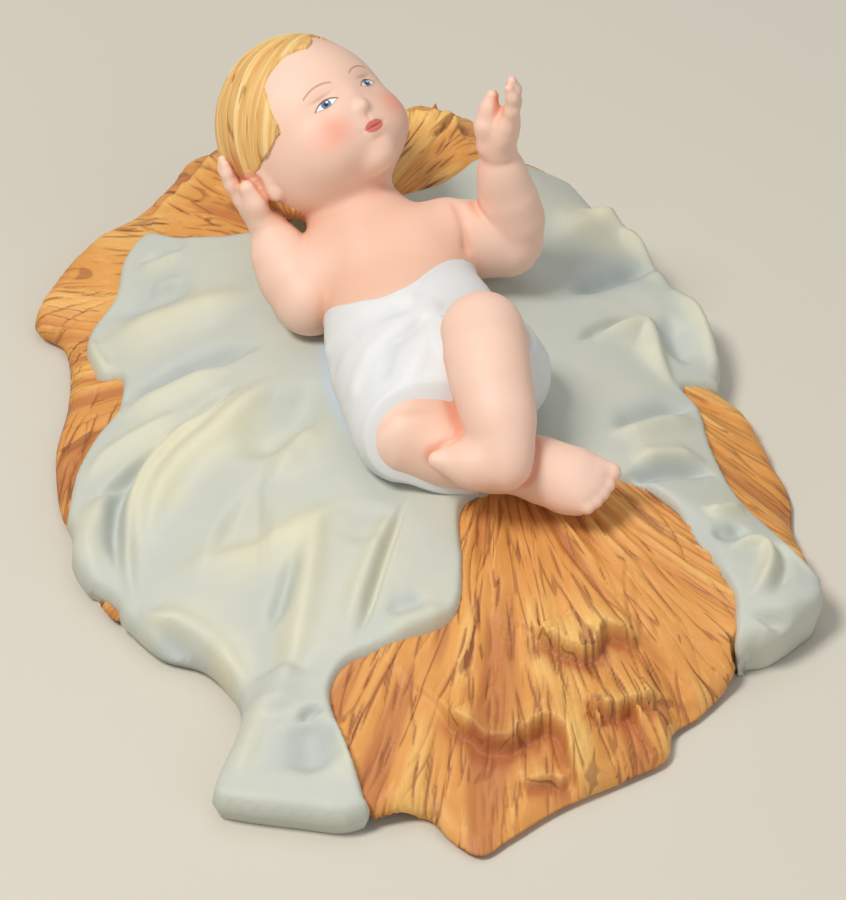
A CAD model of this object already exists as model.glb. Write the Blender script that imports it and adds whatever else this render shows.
import math

import bmesh
import bpy
import numpy as np
from mathutils import Matrix, Vector


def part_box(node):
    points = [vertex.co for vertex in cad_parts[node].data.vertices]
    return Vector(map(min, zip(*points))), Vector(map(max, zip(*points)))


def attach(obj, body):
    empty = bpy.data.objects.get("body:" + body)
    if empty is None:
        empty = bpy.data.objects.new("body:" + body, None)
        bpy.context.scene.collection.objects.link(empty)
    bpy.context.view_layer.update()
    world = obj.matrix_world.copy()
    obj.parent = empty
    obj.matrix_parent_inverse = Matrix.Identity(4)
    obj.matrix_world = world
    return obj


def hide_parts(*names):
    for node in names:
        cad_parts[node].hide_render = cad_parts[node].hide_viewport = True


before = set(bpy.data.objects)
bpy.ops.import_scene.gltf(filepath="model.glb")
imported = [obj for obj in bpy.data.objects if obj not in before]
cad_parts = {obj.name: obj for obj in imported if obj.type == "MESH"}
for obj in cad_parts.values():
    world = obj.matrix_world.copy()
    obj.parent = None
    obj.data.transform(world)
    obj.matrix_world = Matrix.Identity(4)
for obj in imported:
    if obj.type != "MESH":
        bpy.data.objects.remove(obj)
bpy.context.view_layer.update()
lowCorner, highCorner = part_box("figurine")
unit = (highCorner[1] - lowCorner[1]) / 183.47  # metres in one pattern unit, about a millimetre
patternCentre = np.array([0.0, 3.9, 0.0])  # the pattern's origin is under the child's hips
rng = np.random.RandomState(7)
print("frame loaded, unit", round(unit * 1000, 4), "mm")


# camera, light and floor
view = {"target": (0.0025, -0.0109, 0.0200), "distance": 0.62, "elevation": 42.0,
        "sensor": 36.0, "lens": 136.4}
studio = {
    "lamps": {  # place, size, power, colour
        "key": ((-0.38, -0.25, 0.90), 0.30, 6.9, (1.0, 0.98, 0.95)),
        "fill": ((0.75, -0.75, 0.55), 1.2, 3.0, (0.95, 0.97, 1.0)),
        "top": ((0.05, 0.45, 1.2), 1.2, 3.0, (1.0, 0.99, 0.97))},
    "sky": (0.93, 0.96, 1.0, 1.0), "skyStrength": 0.28, "floorSize": 6.0}


def addLamp(name, place, size, power, colour):
    lamp = bpy.data.lights.new(name, "AREA")
    lamp.shape, lamp.size, lamp.energy, lamp.color = "DISK", size, power, colour
    item = bpy.data.objects.new(name, lamp)
    item.location = place
    aim = Vector(view["target"]) - Vector(place)
    item.rotation_euler = aim.to_track_quat("-Z", "Y").to_euler()
    bpy.context.scene.collection.objects.link(item)


def addCamera():
    lens = bpy.data.cameras.new("camera")
    lens.sensor_width, lens.lens = view["sensor"], view["lens"]
    item = bpy.data.objects.new("camera", lens)
    lift = math.radians(view["elevation"])
    back = Vector((0, -math.cos(lift), math.sin(lift)))
    item.location = Vector(view["target"]) + view["distance"] * back
    item.rotation_euler = (math.pi / 2 - lift, 0, 0)
    bpy.context.scene.collection.objects.link(item)
    bpy.context.scene.camera = item


# shader maths
class Wire:
    # a shader socket that ordinary arithmetic works on
    def __init__(self, tree, socket=None):
        self.tree, self.socket = tree, socket

    def node(self, kind, settings=None, sockets=None, out=0):
        made = self.tree.nodes.new(kind)
        for name, value in (settings or {}).items():
            setattr(made, name, value)
        for name, value in (sockets or {}).items():
            if isinstance(value, Wire):
                self.tree.links.new(value.socket, made.inputs[name])
            else:
                made.inputs[name].default_value = value
        return Wire(self.tree, made.outputs[out])

    def maths(self, operation, *values, clamp=False):
        return self.node("ShaderNodeMath", {"operation": operation, "use_clamp": clamp},
                         dict(enumerate(values)))

    def __add__(self, other):
        return self.maths("ADD", self, other)

    def __sub__(self, other):
        return self.maths("SUBTRACT", self, other)

    def __rsub__(self, other):
        return self.maths("SUBTRACT", other, self)

    def __mul__(self, other):
        return self.maths("MULTIPLY", self, other)

    def __truediv__(self, other):
        return self.maths("DIVIDE", self, other)

    def __rtruediv__(self, other):
        return self.maths("DIVIDE", other, self)

    __radd__, __rmul__ = __add__, __mul__

    def clip(self):
        return self.maths("ADD", self, 0.0, clamp=True)

    def step(self, low, high):  # eases from 0 at low to 1 at high
        return self.node("ShaderNodeMapRange", {"interpolation_type": "SMOOTHSTEP"},
                         {"Value": self, "From Min": low, "From Max": high})

    def blend(self, first, second):  # a colour, from first to second as this goes 0 to 1
        return self.node("ShaderNodeMix", {"data_type": "RGBA"}, {0: self, 6: first, 7: second}, 2)

    def noise(self, scale, detail=2.0, roughness=0.5):  # on these coordinates
        return self.node("ShaderNodeTexNoise", {}, {"Vector": self, "Scale": scale, "Detail": detail,
                                                    "Roughness": roughness})

    def stretched(self, *scale):  # these coordinates, scaled along each of their ways
        return self.node("ShaderNodeMapping", {}, {"Vector": self, "Scale": scale})

    def band(self, inner, outer):  # 1 where this is near 0, eased off by its square
        return 1 - (self * self).step(inner, outer)

    def parts(self):
        split = self.node("ShaderNodeSeparateXYZ", {}, {0: self})
        return [Wire(self.tree, output) for output in split.socket.node.outputs]


def startMaterial(name):
    # the material, its shader, a wire to start nodes from and the Object coordinates
    material = bpy.data.materials.new(name)
    material.use_nodes = True
    wire = Wire(material.node_tree)
    return material, wire.tree.nodes["Principled BSDF"], wire, wire.node("ShaderNodeTexCoord", out=3)


def attribute(wire, name, out=2):
    return wire.node("ShaderNodeAttribute", {"attribute_name": name}, out=out)


def plugAll(shader, colour, roughness, relief, strength, distance):
    # the colour, the gloss and the fine relief of a bisque surface
    bump = relief.node("ShaderNodeBump", {}, {"Strength": strength, "Distance": distance, "Height": relief})
    for name, wire in (("Base Color", colour), ("Roughness", roughness), ("Normal", bump)):
        wire.tree.links.new(wire.socket, shader.inputs[name])


def srgb(*tone):  # a colour as the eye reads it, 0 to 255, made linear
    parts = [value / 255 for value in tone]
    return (*[part / 12.92 if part < 0.04045 else ((part + 0.055) / 1.055) ** 2.4 for part in parts], 1.0)


def paint(colour, *layers):
    # layers of a mask, from 0 to 1, and the colour it is painted in
    for mask, tone in layers:
        colour = mask.blend(colour, srgb(*tone))
    return colour


# curves, charts and noise
def ease(value):
    value = np.clip(value, 0, 1)
    return value * value * (3 - 2 * value)


def smoothLine(points, count, closed=False):
    # evenly spaced points on a smooth curve through the given ones
    table = np.array(points, float)
    if closed:
        table = np.vstack([table[-1:], table, table[:2]])
    else:
        table = np.vstack([2 * table[:1] - table[1:2], table, 2 * table[-1:] - table[-2:-1]])
    before, here, after, beyond = table[:-3], table[1:-2], table[2:-1], table[3:]
    t = np.linspace(0, 1, 12, endpoint=False)[:, None, None]
    bend = 2 * before - 5 * here + 4 * after - beyond
    twist = 3 * here - before - 3 * after + beyond
    curve = 0.5 * (2 * here + (after - before) * t + bend * t ** 2 + twist * t ** 3)
    dense = np.vstack([curve.transpose(1, 0, 2).reshape(-1, table.shape[1]), after[-1:]])
    run = np.concatenate([[0], np.cumsum(np.linalg.norm(np.diff(dense[:, :2], axis=0), axis=1))])
    stations = np.linspace(0, run[-1], count, endpoint=not closed)
    return np.stack([np.interp(stations, run, column) for column in dense.T], axis=1)


def nearest(places, line):
    # distance to a line, the side it is passed on (1 left, -1 right) and how far along, 0 to 1
    best = np.full(len(places), np.inf)
    side, along = np.zeros(len(places)), np.zeros(len(places))
    steps = len(line) - 1
    for index in range(steps):
        run = line[index + 1] - line[index]
        if not run.any():
            continue  # two points on one spot
        offset = places - line[index]
        share = np.clip(offset @ run / (run @ run + 1e-12), 0, 1)
        gap = np.hypot(offset[:, 0] - share * run[0], offset[:, 1] - share * run[1])
        turn = (run[0] * offset[:, 1] - run[1] * offset[:, 0]) / np.hypot(*run)
        closer = gap < best
        best = np.where(closer, gap, best)
        side = np.where(closer, np.clip(turn / np.maximum(gap, 1e-6), -1, 1), side)
        along = np.where(closer, (index + share) / steps, along)
    return best, side, along


def inside(places, loop):
    found = np.zeros(len(places), bool)
    for start, end in zip(loop, np.roll(loop, -1, axis=0)):
        spans = (start[1] > places[:, 1]) != (end[1] > places[:, 1])
        rise = end[1] - start[1] if end[1] != start[1] else 1e-9
        crossing = start[0] + (places[:, 1] - start[1]) * (end[0] - start[0]) / rise
        found ^= spans & (places[:, 0] < crossing)
    return found


def between(table, low, part):
    # a table's values between its cells, round to the other side past its edges
    across, along = table.shape
    i, j = (low % table.shape).T
    nextI, nextJ = (i + 1) % across, (j + 1) % along
    near = table[i, j] * (1 - part[:, 0]) + table[nextI, j] * part[:, 0]
    far = table[i, nextJ] * (1 - part[:, 0]) + table[nextI, nextJ] * part[:, 0]
    return near * (1 - part[:, 1]) + far * part[:, 1]


class Chart:
    # values over the whole base, read between its cells
    corner, span = np.array([-82.0, -97.0]), (166, 202)

    def __init__(self, cell):
        self.cell = cell
        self.shape = tuple(int(side / cell) + 1 for side in self.span)
        self.values = np.zeros(self.shape)

    def spots(self):
        across, along = np.meshgrid(np.arange(self.shape[0]), np.arange(self.shape[1]), indexing="ij")
        return self.corner + np.stack([across.ravel(), along.ravel()], axis=1) * self.cell

    def read(self, places):
        spot = (places - self.corner) / self.cell
        spot = np.clip(spot, 0, np.array(self.shape) - 1.001)
        low = spot.astype(int)
        return between(self.values, low, spot - low)


def depthChart(loop, cell=0.6):
    # how far inside a closed outline each place is, negative outside
    chart = Chart(cell)
    spots = chart.spots()
    gap, _, _ = nearest(spots, np.vstack([loop, loop[:1]]))
    chart.values = np.where(inside(spots, loop), gap, -gap).reshape(chart.shape)
    return chart


lattice = rng.rand(256, 256)


def bumps(places, size, shift=0):
    # soft random bumps about size across, from 0 to 1
    spot = places / size + 37.0 + 11.3 * shift
    low = np.floor(spot).astype(int)
    return between(lattice, low, ease(spot - low))


# the ground that the casting's surface follows, in pattern units
base = {
    "rim": [  # the top edge of the wall, clockwise from the back: across, along, height
        (4, 95.9, 19), (13, 94, 19), (17.5, 89.5, 17), (25, 87.5, 14), (33, 81, 11), (39.5, 70, 10),
        (46, 62, 10), (50.5, 52, 10), (56.5, 44.5, 9), (59.5, 32, 7), (59, 25, 7), (64.4, 19.6, 5),
        (68, 10, 4), (71, 0, 3), (70.8, -9, 3), (72, -20, 7), (73.7, -33, 9), (70.5, -38, 10),
        (64.2, -43.5, 10), (58.5, -45, 8), (56.7, -49, 4), (51, -56, 3), (46, -60.5, 3),
        (44.6, -66.4, 3), (38, -70.8, 3), (25.8, -77.7, 3), (17.2, -84.5, 3), (12.1, -88.1, 3),
        (7.1, -84.7, 3), (2.8, -80, 4), (-4, -80.5, 6), (-10.7, -83, 5), (-18.3, -82, 5),
        (-28.6, -80.2, 5), (-32.8, -78.5, 5), (-32.2, -73.5, 5), (-29.4, -64, 5), (-29.5, -55, 4),
        (-36.2, -45.5, 4), (-44.3, -42, 4), (-51, -34.7, 4), (-57.5, -27, 4), (-61, -21, 5),
        (-61.5, -14, 5), (-64.5, -5.6, 4), (-66.1, 2.4, 4), (-67, 13, 4), (-65.8, 25, 4),
        (-66.2, 36, 4), (-68.5, 43.5, 4), (-73.7, 47.5, 5), (-73.2, 53, 6), (-69.1, 63.5, 7),
        (-62.4, 71.5, 8), (-54, 77, 10), (-46, 85.5, 15), (-41, 88, 17), (-30, 90.5, 19), (-14, 93, 20)],
    "heights": [  # of the mound at places inside the rim
        (4, -6, 19), (3, 10, 20), (-2, 30, 22), (-20, 60, 28), (0, 80, 27), (2, 89.5, 26),
        (-22, 85, 25), (22, 74, 21), (-40, 76, 21), (-50, 62, 14), (-30, 30, 18), (-35, 10, 15),
        (-45, 35, 13), (-42, -22, 9), (-25, -30, 14), (-20, -46, 11), (-22, -66, 8), (-5, -62, 10),
        (0, -45, 14), (20, -22, 17), (20, -42, 13), (20, -62, 8), (42, -42, 11), (60, -25, 12),
        (35, -15, 17), (45, -5, 15), (52, 10, 11), (25, 20, 19), (42, 20, 14), (42, 42, 13),
        (30, 62, 17)],
    "size": 184.0, "tuck": 1.2, "lip": 3.2, "lipDrop": 2.6,
}


class Ground:
    # a smooth sheet stretched through known heights
    def __init__(self, known):
        self.spots = known[:, :2] / base["size"]
        count = len(known)
        system = np.zeros((count + 3, count + 3))
        system[:count, :count] = self.bend(self.spots)
        system[:count, count] = 1
        system[:count, count + 1:] = self.spots
        system[count:, :count] = system[:count, count:].T
        self.weights = np.linalg.solve(system, np.append(known[:, 2], [0, 0, 0]))

    def bend(self, places):
        gap = ((places[:, None] - self.spots[None]) ** 2).sum(-1)
        return gap * np.log(gap + 1e-12)

    def height(self, places):
        found = []
        count = len(self.spots)
        for piece in np.array_split(places / base["size"], max(1, len(places) // 20000)):
            level = self.bend(piece) @ self.weights[:count] + self.weights[count]
            found.append(level + piece @ self.weights[count + 1:])
        return np.concatenate(found)


rimLine = smoothLine(base["rim"], 420, closed=True)[:, :2]
ground = Ground(np.vstack([smoothLine(base["rim"], 60, closed=True), np.array(base["heights"])]))
rimDepth = depthChart(rimLine)


def roundedRim(places, reach, drop):
    # how far the surface has turned down by the edge of the casting
    inward = np.clip(rimDepth.read(places) / reach, 0, 1)
    return drop * (1 - np.sqrt(np.clip(1 - (1 - inward) ** 2, 0, 1)))


# mesh helpers
def toFrame(points):
    return (points - patternCentre) * unit


def dress(name, mesh, material):
    mesh.materials.append(material)
    mesh.shade_smooth()
    item = bpy.data.objects.new(name, mesh)
    bpy.context.scene.collection.objects.link(item)
    return item


def makePiece(name, bm, material):
    mesh = bpy.data.meshes.new(name)
    bm.to_mesh(mesh)
    bm.free()
    return dress(name, mesh, material)


def readRows(items, name, width, kind=np.float32):
    # one row of numbers for each vertex, edge or face
    flat = np.empty(len(items) * width, kind)
    items.foreach_get(name, flat)
    return flat.reshape(-1, width)


def readPoints(mesh):
    return readRows(mesh.vertices, "co", 3).astype(float)


def readEdges(mesh):
    return readRows(mesh.edges, "vertices", 2, np.int32)


def faceCentres(mesh):
    return readRows(mesh.polygons, "center", 3).astype(float)


def writePoints(mesh, points):
    mesh.vertices.foreach_set("co", points.astype(np.float32).ravel())
    mesh.update()


def writeValue(mesh, name, values):
    layer = mesh.attributes.new(name, "FLOAT", "POINT")
    layer.data.foreach_set("value", values.astype(np.float32))


def writeVector(mesh, name, values):
    layer = mesh.attributes.new(name, "FLOAT_VECTOR", "POINT")
    layer.data.foreach_set("vector", values.astype(np.float32).ravel())


def relax(points, edges, share, rounds, weight=None):
    # pulls every point towards the middle of its neighbours
    count = len(points)
    ends = np.concatenate([edges[:, 0], edges[:, 1]])
    others = np.concatenate([edges[:, 1], edges[:, 0]])
    number = np.maximum(np.bincount(ends, minlength=count), 1)[:, None]
    weight = share if weight is None else share * weight[:, None]
    for _ in range(rounds):
        middle = np.stack([np.bincount(ends, points[others, axis], minlength=count)
                           for axis in range(points.shape[1])], axis=1) / number
        points = points + (middle - points) * weight
    return points


def snap(places, line):
    # the closest points on a closed line
    closed = np.vstack([line, line[:1]])
    best = np.full(len(places), np.inf)
    spot = places.copy()
    for start, end in zip(closed[:-1], closed[1:]):
        run = end - start
        if not run.any():
            continue  # two points on one spot
        share = np.clip((places - start) @ run / (run @ run), 0, 1)
        landed = start + share[:, None] * run
        gap = ((places - landed) ** 2).sum(1)
        closer = gap < best
        best = np.where(closer, gap, best)
        spot[closer] = landed[closer]
    return spot


def vertsOf(parts):
    return [part for part in parts if isinstance(part, bmesh.types.BMVert)]


def flatSheet(outline, depth, cell, fineWhere=None, cuts=3, rings=6):
    # a grid trimmed to an outline, with rings of wall under its edge; z holds the ring's number
    bm = bmesh.new()
    low, high = outline.min(0) - cell, outline.max(0) + cell
    across, along = (np.ceil((high - low) / cell)).astype(int)
    bmesh.ops.create_grid(bm, x_segments=int(across), y_segments=int(along), size=1)
    middle, half = (low + high) / 2, np.array([across, along]) * cell / 2
    bmesh.ops.scale(bm, vec=(half[0], half[1], 1), verts=bm.verts)
    bmesh.ops.translate(bm, vec=(middle[0], middle[1], 0), verts=bm.verts)

    def trim(margin):
        centres = np.array([face.calc_center_median()[:2] for face in bm.faces])
        spare = depth.read(centres) < margin
        gone = [face for face, out in zip(bm.faces, spare) if out]
        bmesh.ops.delete(bm, geom=gone, context="FACES")

    if fineWhere is not None:
        trim(-cell)
        centres = np.array([face.calc_center_median()[:2] for face in bm.faces])
        edges = {edge for face, fine in zip(bm.faces, fineWhere(centres)) if fine for edge in face.edges}
        bmesh.ops.subdivide_edges(bm, edges=list(edges), cuts=cuts, use_grid_fill=True)
    trim(0.0)
    loose = [vert for vert in bm.verts if not vert.link_faces]
    bmesh.ops.delete(bm, geom=loose, context="VERTS")
    # corners that only one face reaches would stick out of the smooth edge
    for _ in range(2):
        ears = [face for face in bm.faces if sum(edge.is_boundary for edge in face.edges) >= 3]
        bmesh.ops.delete(bm, geom=ears, context="FACES")

    bm.verts.index_update()
    points = np.array([vert.co[:] for vert in bm.verts])
    edges = np.array([[vert.index for vert in edge.verts] for edge in bm.edges])
    border = np.array([vert.is_boundary for vert in bm.verts])
    rimEdges = edges[border[edges].all(1) & np.array([edge.is_boundary for edge in bm.edges])]
    near = (np.abs(depth.read(points[:, :2])) < 2.2 * cell).astype(float)  # the cells that follow the edge
    flat = points[:, :2].copy()
    for _ in range(5):
        flat[border] = snap(flat[border], outline)
        flat = relax(flat, rimEdges, 0.5, 2, border.astype(float))
        flat = relax(flat, edges, 0.5, 2, near * ~border)
    flat[border] = snap(flat[border], outline)
    for vert, (x, y) in zip(bm.verts, flat):
        vert.co = (x, y, 0)

    lip = [edge for edge in bm.edges if edge.is_boundary]
    for _ in range(rings):
        grown = bmesh.ops.extrude_edge_only(bm, edges=lip)["geom"]
        bmesh.ops.translate(bm, verts=vertsOf(grown), vec=(0, 0, -1))
        lip = [part for part in grown if isinstance(part, bmesh.types.BMEdge) and part.is_boundary]
    under = bmesh.ops.contextual_create(bm, geom=lip)["faces"]
    bmesh.ops.triangulate(bm, faces=under, ngon_method="BEAUTY")
    return bm


# blanket
blanket = {
    "outline": [  # the edge on the hay, clockwise from the back left corner
        (-52, 64), (-44, 57.5), (-30, 52), (-12, 54), (3, 60), (9, 66), (14, 73), (24, 78.5),
        (33, 81.5), (41, 71), (47.5, 63), (52, 53), (58, 45), (61, 32), (60, 25.5), (51.9, 20.5),
        (54.8, 15), (56.3, 4), (59.8, -7), (64.8, -15), (70, -24), (74, -31), (76, -37), (69, -43),
        (58.5, -46.5), (57.5, -37), (55, -31), (51.5, -24), (48.5, -17.5), (43.5, -13.5), (38, -12),
        (24, -15), (10.2, -19), (9.6, -33), (9, -41), (5.5, -46), (-5, -51), (-11, -53.5),
        (-13.5, -60), (-10, -71), (-7.5, -79), (-7.5, -86), (-34, -83), (-34, -73), (-31, -64),
        (-31, -55), (-37, -46.5), (-46, -44.5), (-51.2, -38), (-52.0, -32), (-57.4, -26.4), (-61, -22.5),
        (-62.8, -18), (-62.8, -12), (-62.5, 0.8), (-59.3, 10), (-55.5, 16), (-55, 19), (-55, 25.8),
        (-59, 27.5), (-61, 31),
        (-63, 38), (-62, 43), (-58, 49), (-56.7, 58.6)],
    "folds": [  # rise (a valley is negative), width on the left and right of its line, the line
        (0.7, 1.6, 1.6, [(-53.9, 53.2), (-49.1, 53.3), (-43.9, 53.5)]),
        (-0.7, 1.6, 1.6, [(-53.2, 55.0), (-48.2, 55.2), (-43.1, 54.7)]),
        (0.7, 1.3, 1.3, [(-50.8, 46.7), (-47.1, 46.3), (-43.9, 46.2)]),
        (1.5, 3.4, 3.4, [(-60.2, 36.8), (-55.2, 36.9), (-49.8, 36.9), (-40.8, 36.4), (-30.6, 36.9)]),
        (-1, 2.6, 2.6, [(-58.7, 44.2), (-50.6, 43.8), (-40.6, 42.8)]),
        (1, 1.6, 1.6, [(-62.0, 39.6), (-61.5, 35.1), (-59.1, 30.1), (-56.6, 30.1)]),
        (-2.2, 2.6, 1.4, [(-55.7, 17.6), (-50.0, 18.8), (-43.2, 21.3), (-35.5, 22.4), (-27.9, 23.1)]),
        (1.3, 2.2, 2.4, [(-55.0, 13.4), (-50.9, 15.0), (-42.9, 17.1), (-33.7, 19.3)]),
        (-1.1, 1.3, 1.3, [(-32.3, 13.4), (-35.4, 11.2), (-39.1, 8.3), (-42.0, 5.2)]),
        (2, 3, 3.6, [(-23.3, 14.6), (-28.6, 9.5), (-35.2, 2.1), (-41.0, -2.5), (-44.7, -7.7),
                     (-46.9, -14.1), (-47.8, -22.5)]),
        (1.5, 1.5, 1.5, [(-30.7, 12.2), (-36.6, 7.9), (-43.4, 3.4), (-47.8, -2.1), (-50.6, -9.0),
                         (-51.4, -17.5), (-50.1, -28.4), (-48.8, -35.1)]),
        (-2, 1.6, 1.6, [(-46.4, 3.0), (-50.8, -2.1), (-53.1, -7.4), (-53.6, -14.3), (-52.8, -21.4),
                        (-52.0, -26.7)]),
        (-1.2, 1.2, 1.2, [(-58.6, -7.4), (-55.7, -5.5), (-52.9, -2.6), (-47.8, 1.7), (-41.8, 5.4)]),
        (1, 1.8, 1.8, [(-60.5, -1.8), (-57.8, 2.5), (-53.4, 5.7), (-48.2, 7.9), (-42.0, 10.8)]),
        (1.1, 2.4, 2.4, [(-55.0, -5.2), (-57.6, -11.2), (-58.5, -18.8), (-56.2, -26.2)]),
        (-2.2, 4.6, 4.6, [(-29.9, -7.0), (-27.1, -2.2), (-22.0, 2.6), (-19.4, 7.3), (-18.9, 12.5)]),
        (1.1, 2.6, 2.6, [(-25.6, -13.6), (-22.6, -8.9), (-19.1, -1.8), (-16.5, 1.7)]),
        (-1.7, 6.5, 6.5, [(-35.1, -20.1), (-28.6, -22.8), (-24.0, -22.8)]),
        (1.2, 3.2, 3.2, [(-43.9, -28.4), (-37.5, -28.0), (-31.8, -28.0), (-24.1, -27.6), (-17.7, -24.6),
                         (-10.6, -19.4)]),
        (-1.3, 1.6, 1.6, [(-20.1, -30.8), (-21.4, -36.5), (-23.0, -41.3), (-24.7, -44.8)]),
        (1.6, 2.6, 2.6, [(-15.6, -22.5), (-17.2, -31.3), (-18.3, -39.8), (-19.7, -48.5), (-21.9, -58.1)]),
        (1.2, 2.4, 2, [(-2.3, -20.4), (-5.1, -28.9), (-8.2, -38.5), (-11.3, -48.4)]),
        (-1.5, 0.7, 1.1, [(-0.4, -19.6), (-1.8, -24.4), (-3.2, -29.6), (-4.9, -36.1), (-6.9, -43.7),
                          (-9.1, -50.2)]),
        (-0.7, 4.5, 4.5, [(-6.0, -20.2), (-8.0, -30.9)]),
        (-0.7, 1.6, 1.6, [(-4.3, -44.4), (-0.7, -43.2), (3.9, -41.3)]),
        (0.7, 2.0, 2.0, [(-4.3, -48.0), (1.1, -46.2), (7.5, -43.3)]),
        (1.9, 3, 1, [(-48.2, -33.6), (-46.2, -37.4), (-41.4, -39.6), (-35.7, -44.5), (-31.2, -50.1),
                     (-27.3, -56.0)]),
        (-1.7, 2.2, 2.2, [(-45.6, -40.4), (-42.0, -42.2), (-37.8, -45.6), (-34.0, -50.0)]),
        (2, 3.8, 3.2, [(28.2, 52.7), (33.5, 60.5), (39.3, 67.8), (44.4, 68.0), (47.5, 60.0), (48.2, 53.4)]),
        (-2, 2, 2, [(30.8, 38.9), (33.8, 43.5), (39.8, 49.4), (45.2, 53.9), (49.6, 54.5)]),
        (1.7, 2.6, 2.6, [(45.0, 50.5), (50.8, 53.3), (54.7, 52.1), (57.1, 42.7), (58.7, 34.3),
                         (58.6, 26.2)]),
        (-1.1, 0.9, 0.9, [(31.6, 24.7), (33.9, 28.1), (36.3, 31.4), (40.3, 35.1), (45.9, 38.1)]),
        (1.6, 1.2, 2.6, [(34.6, 26.7), (40.2, 31.8), (45.4, 35.8), (47.0, 31.9), (47.5, 26.4),
                         (49.0, 21.4), (50.7, 18.5)]),
        (-1.5, 2.4, 2.4, [(50.0, 41.0), (51.2, 33.8), (52.8, 26.8)]),
        (-1.4, 2.2, 1.2, [(36.9, 0.1), (40.8, 4.0), (47.4, 9.9), (54.1, 14.3)]),
        (1.1, 2.2, 2.2, [(36.8, -2.2), (42.6, 1.6), (48.5, 6.6), (54.4, 9.8)]),
        (-1.6, 0.9, 1.8, [(37.1, -13.0), (42.0, -10.7), (48.8, -6.8), (55.0, -4.7), (56.4, -6.2)]),
        (1.4, 3, 1, [(40.2, -8.4), (49.0, -4.1), (55.2, -2.2)]),
        (1.2, 1.6, 1.6, [(52.6, -16.8), (56.7, -16.5), (61.1, -11.8)]),
        (-1.1, 1.6, 1.6, [(53.7, -22.6), (57.4, -22.7), (60.8, -19.3)]),
        (1.5, 1.4, 1.4, [(57.0, -27.4), (61.2, -24.5), (64.5, -24.9), (64.6, -30.1), (62.2, -35.6),
                         (59.6, -37.9)]),
        (-1, 1.2, 1.2, [(62.9, -22.2), (66.6, -24.5), (66.6, -31.7), (63.8, -37.8)]),
        (-1, 1.6, 1.6, [(46.9, -14.6), (51.2, -21.6), (54.0, -30.1), (56.4, -37.4)]),
        (-1.8, 1.1, 1.1, [(60.1, -40.9), (64.5, -41.8), (68.7, -40.7), (73.2, -36.2)]),
        (1.2, 2, 2, [(60.3, -45.2), (64.3, -46.1), (68.8, -44.6), (71.7, -40.6)]),
        (1, 1.5, 1.5, [(60.1, -4.8), (65.5, -10.7), (69.8, -21.5), (73.2, -31.7)]),
        (-1.6, 3.6, 3.6, [(-16.5, -64.5), (-16.8, -70.1), (-16.1, -76.3)]),
        (1, 2.2, 2.2, [(-25.4, -57.6), (-27.2, -67.3), (-29.3, -75.5)]),
        (1, 2.2, 2.2, [(-12.1, -64.4), (-9.9, -71.0), (-8.8, -77.4)]),
        (-1.4, 1.7, 1.7, [(-17.6, -62.7), (-16.5, -65.0)]),
        (2.0, 4.0, 4.0, [(-22, -52), (-24, -64)]),
        (1.5, 4.2, 4.2, [(34, 70), (44, 66), (50, 57)])],
    "paintedEdge": [(-17, 25), (-14, 11), (-11, 0), (-6, -10), (-3, -13), (11, -16)],
    "swell": 1.5, "taper": 0.35,  # of the folds: their rises' factor, and the share that each end fades over
    "cell": 0.52, "step": 1.8, "edgeRound": 1.2, "thick": 1.8, "edgeSink": 0.15,
    "rimReach": 2.4, "rimDrop": 1.4, "proud": 0.3, "underHeight": 3.7, "underInset": 1.2,
    "unevenness": ((0.22, 9, 0), (0.10, 3.5, 1)),  # height, size and shift of soft bumps
    "wall": (0.15, 0.4, 0.7, 0.93, 1.0),  # how far down its side each ring of faces lies
}
edgeLine = smoothLine(blanket["outline"], 620, closed=True)
overRim = rimDepth.read(edgeLine) < 0.4
edgeLine[overRim] = snap(edgeLine, rimLine)[overRim]  # it stops at the casting's rim
blanketDepth = depthChart(edgeLine)


def blanketRelief(places, spread=1.0, least=0.0, most=99.0):
    # the folds' own heights; spread widens them, and least and most choose them by their width
    relief = np.zeros(len(places))
    fade = blanket["taper"]
    for rise, left, right, line in blanket["folds"]:
        if not least <= max(left, right) <= most:
            continue
        gap, side, along = nearest(places, smoothLine(line, 4 * len(line)))
        taper = ease(along / fade + 0.1) * ease((1 - along) / fade + 0.1)
        width = (right + (left - right) * (side + 1) / 2) * (0.5 + 0.55 * taper) * spread
        relief += blanket["swell"] * rise * taper * np.exp(-(gap / width) ** 2)
    return relief


def inwardWay(places, chart):
    # the way that leads into an outline, from each place
    tiny = 0.7
    way = np.stack([chart.read(places + shift) - chart.read(places - shift)
                    for shift in (np.array([tiny, 0]), np.array([0, tiny]))], axis=1)
    return way / np.maximum(np.linalg.norm(way, axis=1), 1e-6)[:, None]


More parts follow.
